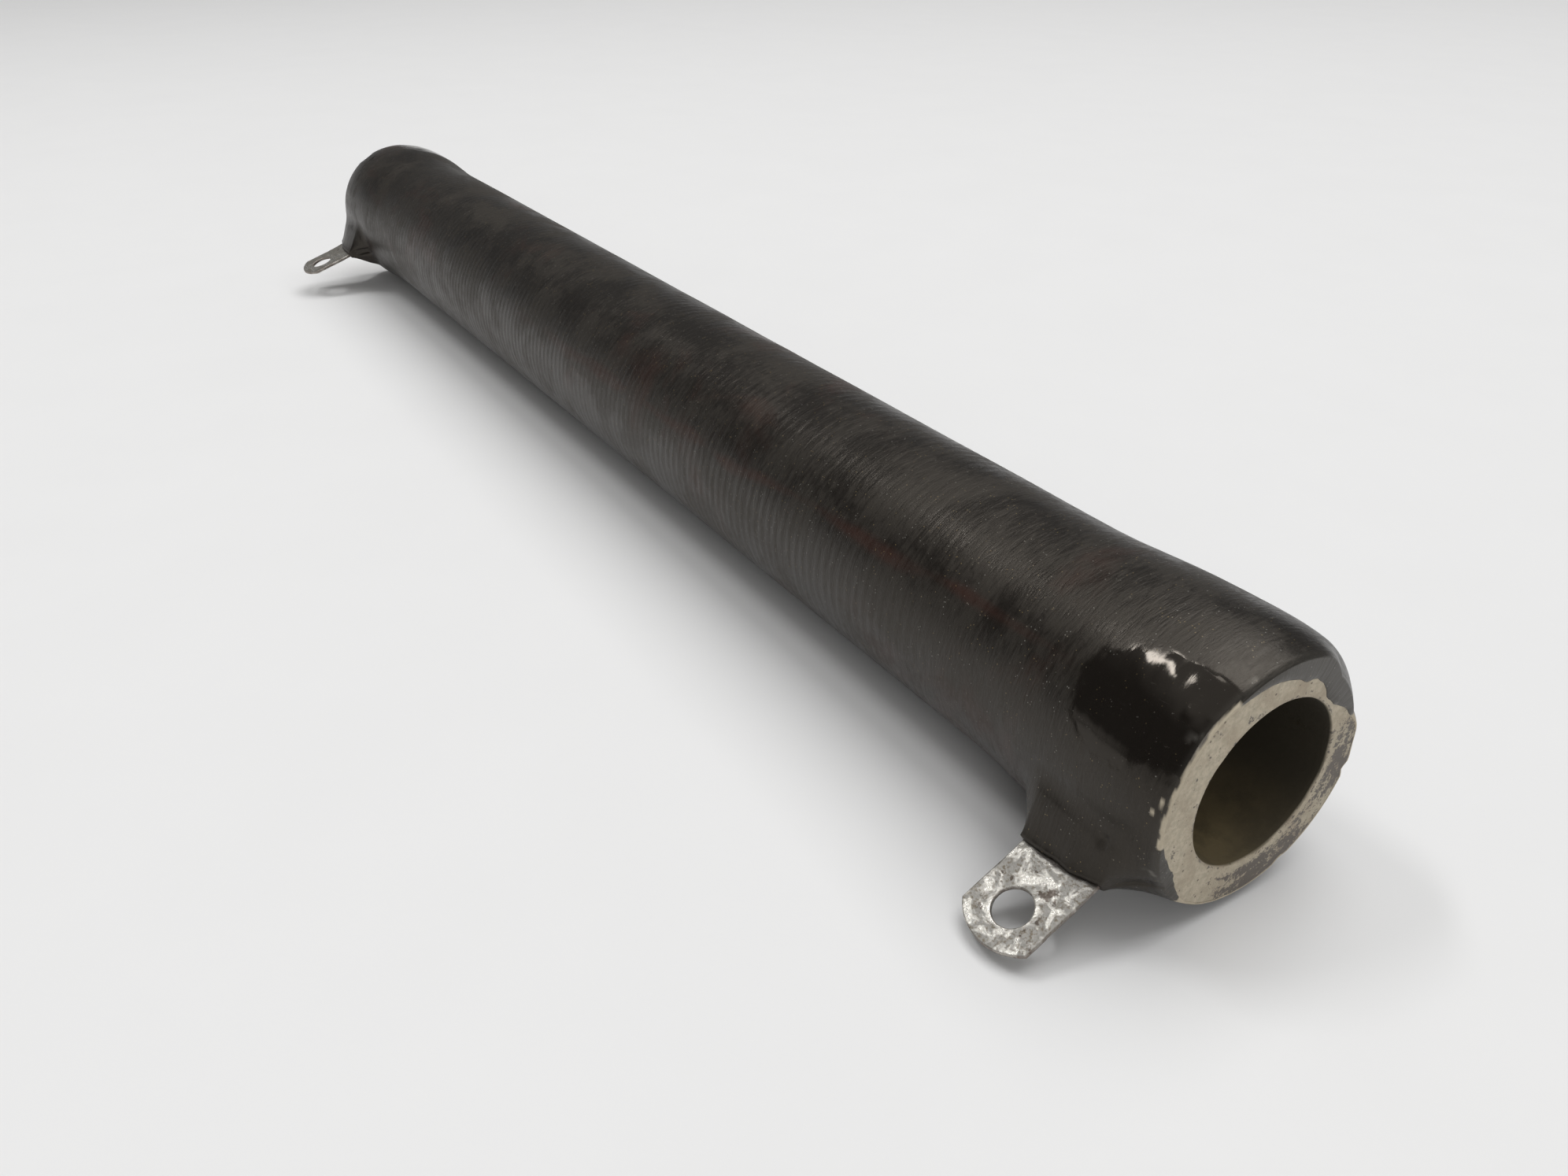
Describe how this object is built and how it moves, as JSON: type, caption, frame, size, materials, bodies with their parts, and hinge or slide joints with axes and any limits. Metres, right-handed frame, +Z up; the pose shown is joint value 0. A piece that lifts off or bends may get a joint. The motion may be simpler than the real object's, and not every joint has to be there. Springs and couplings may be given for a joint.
{
  "type": "tubular wirewound power resistor",
  "caption": "Hollow ceramic tube wound with resistance ribbon, enamel coated, swollen at both ends over the terminal bands, with a flat holed solder lug at each end.",
  "frame": {"origin": "middle of the tube, on the axis of its through bore", "axes": "+X along the tube towards the right lug's end, +Z up, both lugs towards -Y and below the axis, lying on its swollen ends"},
  "size_m": [0.2666, 0.0442, 0.0312],
  "materials": {
    "bare_ceramic": "fired, unglazed, slightly soiled cream",
    "resistance_wire": "rolled nickel-chromium ribbon",
    "band_steel": "nickel alloy strap",
    "tinned_lug": "solder dipped, mottled",
    "braze_metal": "braze bead",
    "vitreous_enamel": "dark brown vitreous enamel, semi-gloss with cloudy patches"
  },
  "bodies": {
    "root": {"ceramic_core": "bare_ceramic", "resistance_winding": "resistance_wire", "left_terminal_band": "band_steel", "right_terminal_band": "band_steel", "left_solder_lug": "tinned_lug", "right_solder_lug": "tinned_lug", "left_wire_braze": "braze_metal", "right_wire_braze": "braze_metal", "enamel_coat": "vitreous_enamel"}
  },
  "joints": []
}
